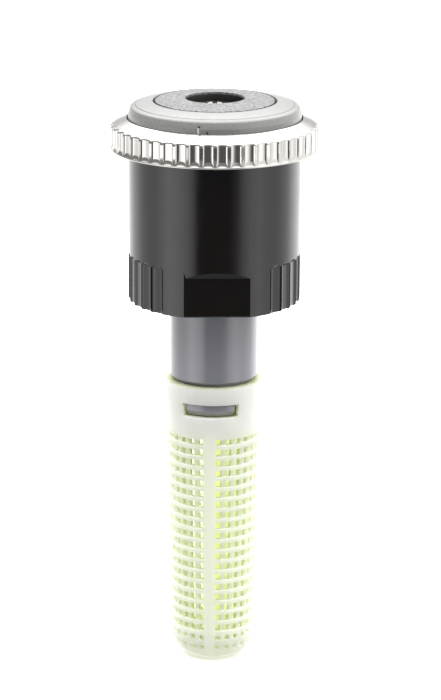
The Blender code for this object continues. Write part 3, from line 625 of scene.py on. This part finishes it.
def chrome_ring():
    def edge(turn):
        """A row round the top edge of the flutes."""
        def row(a):
            r = ring_flute_radius(a) - RING_EDGE * (1 - sin(turn))
            return (r, ring_cone(r) - RING_EDGE * (1 - cos(turn)))
        return row

    def toe(share):
        """A row down the curve where the flutes run out to the crest."""
        def row(a):
            r = ring_flute_radius(a)
            end = acos(1 - max(0.0, RING_CREST - r) / RING_TOE)
            turn = share * end
            return (r + RING_TOE * (1 - cos(turn)), RING_FLANGE + RING_TOE * (sin(end) - sin(turn)))
        return row

    def bead(turn):
        middle = RING_RADIUS + 0.03 - RING_BEAD
        return (middle + RING_BEAD * cos(turn), RING_BOTTOM + RING_BEAD + RING_BEAD * sin(turn))

    rows = [
        *fixed(
            (RING_MOUTH, RING_TOP - 0.12), (RING_MOUTH + 0.035, RING_TOP - 0.035),
            (RING_MOUTH + 0.12, RING_TOP - 0.01), (12.0, ring_cone(12.0)), (12.6, ring_cone(12.6)),
        ),
        *(edge(radians(turn)) for turn in (0, 15, 30, 45, 60, 75, 90)),
        lambda a: (ring_flute_radius(a), ring_cone(ring_flute_radius(a)) - RING_EDGE - 0.1),
        lambda a: (ring_flute_radius(a), RING_FLANGE + RING_TOE + 0.12),
        *(toe(share / 6) for share in range(7)),
        *fixed(*(bead(radians(turn)) for turn in (42, 25, 8, -8, -25, -45, -65, -90))),
        *fixed(
            (RING_SLEEVE, RING_BOTTOM), (RING_SLEEVE, RING_SEAL_HIGH),
            (RING_SLEEVE - RING_SEAL_DEPTH, RING_SEAL_HIGH), (RING_SLEEVE - RING_SEAL_DEPTH, RING_SEAL_LOW),
            (RING_SLEEVE, RING_SEAL_LOW), (RING_SLEEVE, 17.2), (RING_SLEEVE + 0.3, 17.1),
            (RING_SLEEVE + 0.3, 16.55), (RING_SLEEVE, 16.4), (RING_SLEEVE, 13.5), (RING_BORE, 13.5),
            (RING_BORE, 17.95), (8.45, 20.6), (8.6, 20.72), (10.8, 21.7), (RING_MOUTH - 0.1, 22.1),
            (RING_MOUTH, 22.4),
        ),
    ]
    piece = add_piece("arc_ring_chrome", sweep(rows, ring_angles()), "arc_ring", CHROME)
    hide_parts("arc_ring")


# ---------------------------------------------------------------- rotor head

def head_rim():
    bore = DIAL_RADIUS + DIAL_GAP
    shape = lathe([
        (bore, RIM_TOP, 0.08), (10.26, 25.97, 0.0), (10.33, 25.86, 0.0), (10.42, 25.94, 0.03),
        (11.0, 25.74, 0.42), (HEAD_RADIUS, 24.85, 0.4), (HEAD_RADIUS, HEAD_BOTTOM, 0.12),
        (10.7, HEAD_BOTTOM, 0.0), (10.7, RIM_SHELF, 0.0), (8.25, RIM_SHELF, 0.0), (8.25, 25.6, 0.0),
        (bore, 25.6, 0.0),
    ])
    piece = add_piece("head_rim", shape, "head", RIM)
    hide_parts("head_ring")


def dial():
    shape = lathe([
        (KEY_HOLE, DIAL_TOP, 0.14), (5.6, DIAL_TOP - 0.06, 0.4), (7.1, DIAL_TOP - 0.22, 0.3),
        (DIAL_RADIUS, DIAL_TOP - 0.36, 0.07), (DIAL_RADIUS, DIAL_BOTTOM, 0.0), (KEY_HOLE, DIAL_BOTTOM, 0.0),
    ])
    piece = add_piece("dial_disc", shape, "head", DIAL)
    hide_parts("top_dial")
    sleeve = lathe([
        (KEY_HOLE - 0.02, 26.55, 0.05), (KEY_HOLE + 0.2, 26.45, 0.0), (KEY_HOLE + 0.2, 25.55, 0.0),
        (KEY_HOLE - 0.05, 25.55, 0.0),
    ])
    add_piece("dial_well", sleeve, "head", WELL)
    # The floor of the key hole gets the darker copy: painted shade.
    bottom = lathe([
        (KEY_HOLE - 0.06, 25.65, 0.05), (KEY_HOLE - 0.06, WELL_BOTTOM, 0.0), (1.2, WELL_BOTTOM, 0.0),
        (1.2, 25.6, 0.05),
    ])
    add_piece("dial_well_floor", bottom, "head", WELL_FLOOR)


def index_mark():
    """A generic index on the head's side: a short raised tick, coloured pale as a painted highlight, with a
    near-black disc over it and one beside it as painted shade for small pits.
    """
    def on_side(angle, height, out):
        return Matrix.Rotation(radians(angle), 4, "Z") @ Matrix.Translation((0, -HEAD_RADIUS - out, height))

    shape = bmesh.new()
    place = on_side(-12.8, 24.62, -0.02)
    bmesh.ops.create_cube(shape, size=1, matrix=place @ Matrix.Diagonal((0.2, 0.2, 0.8, 1)))
    bmesh.ops.bevel(shape, geom=list(shape.edges), offset=0.05, segments=2, affect="EDGES")
    # The tick is coloured pale: a painted highlight.
    add_piece("index_tick", shape, "head", TICK_HIGHLIGHT)
    pits = bmesh.new()
    for angle, height, out, radius in ((-7.0, 24.42, 0.0, 0.17), (-12.4, 25.14, -0.05, 0.16)):
        place = on_side(angle, height, out) @ Matrix.Rotation(pi / 2, 4, "X")
        bmesh.ops.create_cone(
            pits, cap_ends=True, segments=24, radius1=radius, radius2=0.8 * radius, depth=0.06, matrix=place
        )
    # The discs are near-black: painted shade for small pits.
    add_piece("index_pits", pits, "head", PIT_SHADE)


# ---------------------------------------------------------------- stem

def barb_radius(angle, tip):
    for target in (FILTER_TURN, FILTER_TURN + pi):
        if abs(near(angle, target)) < BARB_HALF_ANGLE:
            return tip
    return NECK_RADIUS


def stem_tube():
    barb_top, barb_low = SLOT_TOP - 0.15, SLOT_BOTTOM + 0.15
    upper = rounded([
        (STEM_BORE, STEM_TOP, 0.1), (5.4, STEM_TOP, 0.1), (5.4, 15.5, 0), (4.85, 15.5, 0), (4.85, 14.6, 0),
        (5.4, 14.6, 0), (5.4, FLANGE_HIGH, 0), (FLANGE_RADIUS, FLANGE_HIGH, 0.1),
        (FLANGE_RADIUS, FLANGE_LOW, 0), (STEM_RADIUS, FLANGE_LOW, 0), (STEM_RADIUS, SHOULDER_Z, 0.35),
        (NECK_RADIUS, SHOULDER_Z, 0.05), (NECK_RADIUS, barb_top + 0.02, 0),
    ])
    lower = rounded([
        (NECK_RADIUS, barb_low - 0.02, 0), (NECK_RADIUS, STEM_BOTTOM, 0.2), (STEM_BORE, STEM_BOTTOM, 0.1),
    ])[:-1]
    rows = fixed(*upper) + [
        lambda a: (barb_radius(a, BARB_RADIUS), barb_top),
        lambda a: (barb_radius(a, BARB_RADIUS), barb_top - 0.75),
        lambda a: (barb_radius(a, NECK_RADIUS + 0.2), barb_low + 0.02),
        lambda a: (barb_radius(a, NECK_RADIUS + 0.12), barb_low),
    ] + fixed(*lower)
    piece = add_piece("stem_tube", sweep(rows, even(FINE)), "body", STEM_GREY)
    guides = bmesh.new()
    lathe([(1.15, 11, 0.1), (2.4, 11, 0.1), (2.4, 7, 0.1), (1.15, 7, 0.1)], 64, guides)
    for angle in (pi, pi / 3, -pi / 3):
        add_rib(guides, angle, 2.2, STEM_BORE + 0.1, 0.9, 7.05, 10.95)
    for angle in (pi / 2, -pi / 2):
        add_rib(guides, angle, 3.2, STEM_BORE + 0.1, 1.2, -16.8, -5.15)
    add_piece("stem_guides", guides, "body", STEM_GREY)
    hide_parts("stem")


def add_rib(shape, angle, inner, outer, width, low, high):
    place = Matrix.Rotation(angle, 4, "Z") @ Matrix.Translation((0, -(inner + outer) / 2, (low + high) / 2))
    made = bmesh.ops.create_cube(
        shape, size=1, matrix=place @ Matrix.Diagonal((width, outer - inner, high - low, 1))
    )
    edges = {edge for vertex in made["verts"] for edge in vertex.link_edges}
    bmesh.ops.bevel(shape, geom=list(edges), offset=0.12, segments=2, affect="EDGES")


# ---------------------------------------------------------------- filter

def wall_radius(z):
    return FILTER_TOP_RADIUS - FILTER_TAPER * (FILTER_TOP - z)


def filter_columns():
    """(start angle, kind) of each column round the filter, from the middle of the front rib."""
    quadrant_open = pi / 2 - RIB_ANGLE
    bar = (quadrant_open - WINDOWS_PER_QUADRANT * WINDOW_ANGLE) / (WINDOWS_PER_QUADRANT - 1)
    columns = []
    for quarter in range(4):
        a = quarter * pi / 2 - RIB_ANGLE / 2
        for k in range(4):
            columns.append((a + RIB_ANGLE * k / 4, "rib"))
        a += RIB_ANGLE
        for k in range(WINDOWS_PER_QUADRANT):
            columns.append((a, "window"))
            a += WINDOW_ANGLE
            if k < WINDOWS_PER_QUADRANT - 1:
                columns.append((a, "bar"))
                columns.append((a + bar / 2, "bar"))
                a += bar
    return columns


def filter_rows():
    """(height, kind) of the top of each band down the straight wall, and the height where it ends."""
    pitch = (MESH_FIRST - MESH_LAST) / (MESH_ROWS - 1)
    bands = [(FILTER_TOP, "collar"), (SLOT_TOP, "slot"), (SLOT_BOTTOM, "collar"), (COLLAR_END, "solid")]
    for row in range(MESH_ROWS):
        middle = MESH_FIRST - row * pitch
        last = row >= MESH_ROWS - 2
        half = FIRST_WINDOW_HALF if row == 0 else (LAST_WINDOW_HALF if last else WINDOW_HALF)
        bands.append((middle + half, "hole" if last else "open"))
        after = "solid" if row >= MESH_ROWS - 3 else "ring"
        bands.append((middle - half, after))
    return bands


def slot_edges():
    """Angles of the ends of the two barb slots, at the front and the back."""
    return [side + end for side in (0, pi) for end in (-SLOT_HALF_ANGLE, SLOT_HALF_ANGLE)]


def split_columns(columns):
    """Adds the ends of the slots as column edges."""
    starts = [(a % tau, kind) for a, kind in columns]
    starts.sort()
    for edge in slot_edges():
        edge %= tau
        kind = [k for a, k in starts if a <= edge + 1e-9][-1]
        if min(abs(a - edge) for a, _ in starts) > radians(0.4):
            starts.append((edge, kind))
            starts.sort()
    return starts


def wall_depths(band, column, middle):
    """How deep below the filter's surface a cell starts and ends, or None where it is open."""
    if band == "slot":
        if min(abs(near(middle, 0)), abs(near(middle, pi))) < SLOT_HALF_ANGLE:
            return None
        return (-COLLAR_PROUD, FILTER_WALL)
    if band == "collar":
        return (-COLLAR_PROUD, FILTER_WALL)
    if column == "rib":
        return (-RIB_PROUD, FILTER_WALL)
    if band in ("solid", "end"):
        return (0.0, FILTER_WALL)
    if column == "bar":
        return (0.0, FILTER_WALL) if band in ("ring", "hole") else (BAR_DEPTH, FILTER_WALL)
    return (0.0, RING_THICKNESS) if band == "ring" else None


def filter_profile():
    """Bands down the filter as (height, how far round the bottom corner, kind of the band below)."""
    corner_top = FILTER_BOTTOM + FILTER_CORNER_HEIGHT
    bands = []
    for z, kind in filter_rows():
        turn = asin(max(0.0, corner_top - z) / FILTER_CORNER_HEIGHT)
        bands.append((max(z, corner_top), turn, kind))
    turn = bands[-1][1]
    step = (pi / 2 - turn) / END_STEPS
    return bands + [(corner_top, turn + step * k, "end") for k in range(1, END_STEPS + 1)]


def filter_point(z, turn, depth):
    """Radius and height of a point this deep below the surface, round the bottom corner by turn."""
    radius = wall_radius(z) - FILTER_CORNER + (FILTER_CORNER - depth) * cos(turn)
    return radius, z - (FILTER_CORNER_HEIGHT - depth) * sin(turn)


def filter_mesh():
    """The basket as a wall of cells between columns and bands, each with its own start and end depth."""
    columns = split_columns(filter_columns())
    bands = filter_profile()
    angles = [a for a, _ in columns] + [columns[0][0] + tau]
    count = len(columns)
    shape = bmesh.new()
    corners = {}

    def corner(i, j, depth):
        key = (i % count, j, round(depth, 3))
        if key not in corners:
            z, turn, _ = bands[j]
            corners[key] = shape.verts.new(at(angles[i % count], *filter_point(z, turn, depth)))
        return corners[key]

    def face(*points):
        if len(set(points)) == len(points) and shape.faces.get(points) is None:
            shape.faces.new(points)

    cells = {}
    for j in range(len(bands) - 1):
        for i in range(count):
            middle = (angles[i] + angles[i + 1]) / 2
            cells[i, j] = wall_depths(bands[j][2], columns[i][1], middle)

    def side(here, there, first, second):
        """Walls between two neighbours wherever one has material and the other has none."""
        if here == there:
            return
        if here is None or there is None:
            spans = [here or there]
        else:
            spans = [(here[0], there[0]), (here[1], there[1])]
        for shallow, deep in spans:
            if abs(shallow - deep) > 1e-6:
                face(corner(*first, shallow), corner(*second, shallow),
                     corner(*second, deep), corner(*first, deep))

    for (i, j), cell in cells.items():
        if cell is not None:
            for depth in cell:
                face(corner(i, j, depth), corner(i + 1, j, depth),
                     corner(i + 1, j + 1, depth), corner(i, j + 1, depth))
        side(cell, cells[(i + 1) % count, j], (i + 1, j), (i + 1, j + 1))
        if j + 1 < len(bands) - 1:
            side(cell, cells[i, j + 1], (i, j + 1), (i + 1, j + 1))
    for i in range(count):  # the rim at the top
        depths = cells[i, 0]
        face(corner(i, 0, depths[0]), corner(i + 1, 0, depths[0]),
             corner(i + 1, 0, depths[1]), corner(i, 0, depths[1]))
    last = len(bands) - 1
    for k in (0, 1):  # the flat end
        shape.faces.new([corner(i, last, cells[i, last - 1][k]) for i in range(count)])
    bmesh.ops.recalc_face_normals(shape, faces=shape.faces)
    bmesh.ops.rotate(shape, verts=shape.verts, matrix=Matrix.Rotation(FILTER_TURN, 3, "Z"))
    piece = add_piece("filter_lattice", shape, "filter", FILTER_GREEN)
    soften(piece, 0.07, 2)
    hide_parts("filter_basket")


def soften(piece, width, segments):
    """Rounds a piece's sharp edges a little."""
    bevel = piece.modifiers.new("moulded_edges", "BEVEL")
    bevel.width = width * MM
    bevel.segments = segments
    bevel.limit_method = "ANGLE"
    bevel.angle_limit = SHARP


# ---------------------------------------------------------------- rotor plate, shaft and small parts

def carve(piece, cutter_shape):
    """Cuts a piece with a bmesh in the piece's own units, and keeps the result as its mesh."""
    mesh = bpy.data.meshes.new("cutter")
    cutter_shape.to_mesh(mesh)
    cutter_shape.free()
    cutter = bpy.data.objects.new("cutter", mesh)
    bpy.context.scene.collection.objects.link(cutter)
    cutter.matrix_world = piece.matrix_world
    boolean = piece.modifiers.new("cut", "BOOLEAN")
    boolean.solver = "EXACT"
    boolean.use_self = True
    boolean.object = cutter
    bpy.context.view_layer.update()
    graph = bpy.context.evaluated_depsgraph_get()
    made = bpy.data.meshes.new_from_object(piece.evaluated_get(graph))
    piece.modifiers.clear()
    look = piece.data.materials[0]
    piece.data = made
    made.materials.clear()
    made.materials.append(look)
    made.shade_smooth()
    made.set_sharp_from_angle(angle=SHARP)
    bpy.data.objects.remove(cutter)


def box(shape, centre, size, turn=0.0, tilt=0.0):
    """A box turned round the axis from the front, and tilted about its own width."""
    place = Matrix.Rotation(turn, 4, "Z") @ Matrix.Translation(centre) @ Matrix.Rotation(tilt, 4, "X")
    bmesh.ops.create_cube(shape, size=1, matrix=place @ Matrix.Diagonal((*size, 1)))


def rotor_plate():
    shape = lathe([
        (8.2, PLATE_TOP, 0), (PLATE_RADIUS, PLATE_TOP, 0), (PLATE_RADIUS, 22.5, 0.2), (7.5, 21.25, 2),
        (5.0, 20.35, 1), (3.6, PLATE_BOTTOM, 0.4), (2.05, PLATE_BOTTOM, 0.1), (2.05, 22.25, 0),
        (7.4, 22.25, 0), (7.4, 24.35, 0), (8.2, 24.35, 0),
    ])
    piece = add_piece("rotor_plate", shape, "head", BLACK)
    grooves = bmesh.new()
    for angle in even(ROTOR_GROOVES):
        box(grooves, (GROOVE_OFFSET, -8.6, 20.8), (1.0, 9.0, 1.6), angle, GROOVE_TILT)
    carve(piece, in_place(grooves))
    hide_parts("deflector_plate")


def shaft_rod():
    corners = [(0.001, SHAFT_TOP, 0), (SHAFT_RADIUS, SHAFT_TOP, 0.12)]
    z, root = SHAFT_THREAD_TOP, SHAFT_RADIUS - SHAFT_THREAD_DEPTH
    while z - SHAFT_THREAD_PITCH > SHAFT_BOTTOM + 0.4:
        corners += [(SHAFT_RADIUS, z, 0.03), (root, z - SHAFT_THREAD_PITCH / 2, 0.03)]
        z -= SHAFT_THREAD_PITCH
    corners += [(SHAFT_RADIUS, z, 0), (SHAFT_RADIUS, SHAFT_BOTTOM, 0.2), (0.001, SHAFT_BOTTOM, 0)]
    piece = add_piece("shaft_rod", lathe(corners, 48), "shaft", STEEL)
    slot_cut = bmesh.new()
    box(slot_cut, (0, 0, SHAFT_TOP), DRIVER_SLOT)
    carve(piece, in_place(slot_cut))
    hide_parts("shaft")


def rubber_rings():
    """Round-section versions of the O-rings, at the places and sizes the frame gives."""
    for node, body in (
        ("stem_oring", "body"), ("nozzle_oring", "body"), ("cover_oring", "head"),
        ("ring_friction_oring", "arc_ring"),
    ):
        low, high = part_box(node)
        cord = (high.z - low.z) / 2 / MM
        ring, middle = high.x / MM - cord, on_body((low.z + high.z) / 2)
        section = [(ring + cord * cos(turn), middle + cord * sin(turn)) for turn in even(16)]
        shape = sweep(fixed(*section), even(96))
        piece = add_piece(node + "_round", shape, body, RUBBER)
        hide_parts(node)


def coil_spring():
    """The return spring, with a closed turn at each end."""
    low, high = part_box("return_spring")
    wire = 0.175
    ring = high.x / MM - wire
    turns, closed, steps, sides = 6.0, 1.0, 40, 10
    start, end = on_body(low.z) + wire, on_body(high.z) - wire
    free = end - start - 2 * closed * 2 * wire
    open_turns = turns - 2 * closed
    total = int(turns * steps)
    path = []
    for i in range(total + 1):
        t = i / steps
        z = start + 2 * wire * min(t, closed)
        z += free * max(0.0, min(t - closed, open_turns)) / open_turns
        z += 2 * wire * max(0.0, t - closed - open_turns)
        path.append(Vector((ring * sin(t * tau), -ring * cos(t * tau), z)))
    shape = bmesh.new()
    loops = []
    for i, point in enumerate(path):
        outward = Vector((point.x, point.y, 0)).normalized()
        loops.append([
            shape.verts.new(point + outward * (wire * cos(turn)) + Vector((0, 0, wire * sin(turn))))
            for turn in even(sides)
        ])
    for one, two in zip(loops, loops[1:]):
        for k in range(sides):
            n = (k + 1) % sides
            shape.faces.new((one[k], one[n], two[n], two[k]))
    shape.faces.new(loops[0])
    shape.faces.new(loops[-1])
    bmesh.ops.recalc_face_normals(shape, faces=shape.faces)
    piece = add_piece("coil_spring", shape, "body", STEEL)
    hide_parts("return_spring")
    return piece


def dress(node, look):
    """A CAD node that keeps its shape gets its material here."""
    for material_slot in bpy.data.objects[node].material_slots:
        material_slot.material = look


# ---------------------------------------------------------------- assembly

nozzle_body()
chrome_ring()
head_rim()
dial()
index_mark()
stem_tube()
filter_mesh()
rotor_plate()
shaft_rod()
rubber_rings()
spring = coil_spring()

for node in (
    "throttle_seat", "arc_nozzle", "lower_bush", "upper_bush", "brake_stator", "thrust_washer",
    "spring_cup", "throttle_plug",
):
    dress(node, ACETAL)
for node in ("seal_retainer", "stator_clip", "spring_clip", "shaft_end_clip"):
    dress(node, STEEL)
for node in ("riser_gasket", "shaft_seal"):
    dress(node, RUBBER)
dress("arc_core", BLACK)
dress("brake_cover", WELL)

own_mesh(spring)


# ---------------------------------------------------------------- floor, light and camera

def studio():
    """A soft studio whose brightness changes with direction round the camera."""
    world = bpy.data.worlds.new("soft_studio")
    bpy.context.scene.world = world
    world.use_nodes = True
    nodes, links = world.node_tree.nodes, world.node_tree.links
    background = nodes["Background"]
    place = nodes.new("ShaderNodeTexCoord").outputs["Generated"]
    turn = nodes.new("ShaderNodeVectorRotate")
    turn.rotation_type = "Z_AXIS"
    turn.inputs["Angle"].default_value = -CAMERA_TURN
    links.new(place, turn.inputs["Vector"])
    split = nodes.new("ShaderNodeSeparateXYZ")
    links.new(turn.outputs["Vector"], split.inputs[0])

    def maths(operation, *values):
        made = nodes.new("ShaderNodeMath")
        made.operation = operation
        for socket, value in zip(made.inputs, values):
            if isinstance(value, (int, float)):
                socket.default_value = value
            else:
                links.new(value, socket)
        return made.outputs[0]

    def ramp(value, stops):
        made = nodes.new("ShaderNodeValToRGB")
        points = made.color_ramp.elements
        while len(points) < len(stops):
            points.new(0.5)
        for point, (position, level) in zip(points, stops):
            point.position = position
            point.color = (level, level, level, 1)
        links.new(value, made.inputs["Fac"])
        return made.outputs["Color"]

    def spread(value, start, end, most=1.0):
        """Rises smoothly from 0 to most as the value goes from start to end."""
        made = nodes.new("ShaderNodeMapRange")
        made.interpolation_type = "SMOOTHSTEP"
        made.inputs["From Min"].default_value = start
        made.inputs["From Max"].default_value = end
        made.inputs["To Max"].default_value = most
        links.new(value, made.inputs["Value"])
        return made.outputs["Result"]

    def mix(factor, first, second):
        made = nodes.new("ShaderNodeMix")
        made.data_type = "RGBA"
        links.new(factor, made.inputs[0])
        for socket, value in ((made.inputs[6], first), (made.inputs[7], second)):
            if isinstance(value, tuple):
                socket.default_value = (*value, 1)
            else:
                links.new(value, socket)
        return made.outputs[2]

    x, y, z = split.outputs
    share = maths("MULTIPLY_ADD", maths("ARCTAN2", x, maths("MULTIPLY", y, -1.0)), 0.5 / pi, 0.5)
    around = [(-angle, level) for angle, level in reversed(SOFTBOXES_LEFT)] + SOFTBOXES_RIGHT
    horizon = ramp(share, [(0.5 + angle / 360, level / BRIGHTEST) for angle, level in around])
    to_right = spread(x, RIGHT_FROM, RIGHT_FULL, WALL_RIGHT - WALL)
    to_back = spread(y, BEHIND_FROM, BEHIND_FULL, WALL_BEHIND - WALL)
    level = maths("DIVIDE", maths("ADD", maths("ADD", to_right, to_back), WALL), BRIGHTEST)
    wall = nodes.new("ShaderNodeCombineColor")
    for channel in wall.inputs:
        links.new(level, channel)
    tilted = maths("MULTIPLY_ADD", y, sin(OVERHEAD_TILT), maths("MULTIPLY", z, cos(OVERHEAD_TILT)))
    above = spread(maths("ARCSINE", tilted), OVERHEAD_FROM, OVERHEAD_FULL)
    overhead = tuple(share * OVERHEAD / BRIGHTEST for share in (1.0, 0.995, 0.985))
    rise = maths("ARCSINE", z)
    below = spread(rise, GROUND_FROM, GROUND_FULL)
    lower = mix(below, horizon, (GROUND / BRIGHTEST,) * 3)
    upper = mix(above, wall.outputs[0], overhead)
    lit = mix(spread(rise, SKYLINE_LOW, SKYLINE_HIGH), lower, upper)
    seen = mix(nodes.new("ShaderNodeLightPath").outputs["Is Camera Ray"], lit, (1, 1, 1))
    links.new(seen, background.inputs["Color"])
    background.inputs["Strength"].default_value = BRIGHTEST


def floor():
    shape = bmesh.new()
    bmesh.ops.create_grid(shape, x_segments=1, y_segments=1, size=3.0)
    mesh = bpy.data.meshes.new("floor")
    shape.to_mesh(mesh)
    shape.free()
    made = bpy.data.objects.new("floor", mesh)
    bpy.context.scene.collection.objects.link(made)
    look = Shader("pale_floor", (0.9, 0.9, 0.9), 0.9)
    look.bump(look.noise(4.0, 2), 0.05, 0.1)
    mesh.materials.append(look.material)
    made.location.z = -0.02 * MM
    made.visible_glossy = False
    made.visible_diffuse = False


def camera():
    data = bpy.data.cameras.new("camera")
    data.sensor_fit = "VERTICAL"
    data.sensor_height = 36.0
    data.lens = CAMERA_LENS
    data.clip_start = 0.01
    made = bpy.data.objects.new("camera", data)
    bpy.context.scene.collection.objects.link(made)
    made.matrix_world = (
        Matrix.Rotation(CAMERA_TURN, 4, "Z")
        @ Matrix.Translation((0, -CAMERA_DISTANCE * MM, (LIFT + CAMERA_HEIGHT) * MM))
        @ Matrix.Rotation(-CAMERA_YAW, 4, "Z")
        @ Matrix.Rotation(pi / 2 - CAMERA_PITCH, 4, "X")
        @ Matrix.Rotation(CAMERA_ROLL, 4, "Z")
    )
    bpy.context.scene.camera = made


studio()
floor()
camera()
bpy.context.scene.view_settings.view_transform = "Standard"
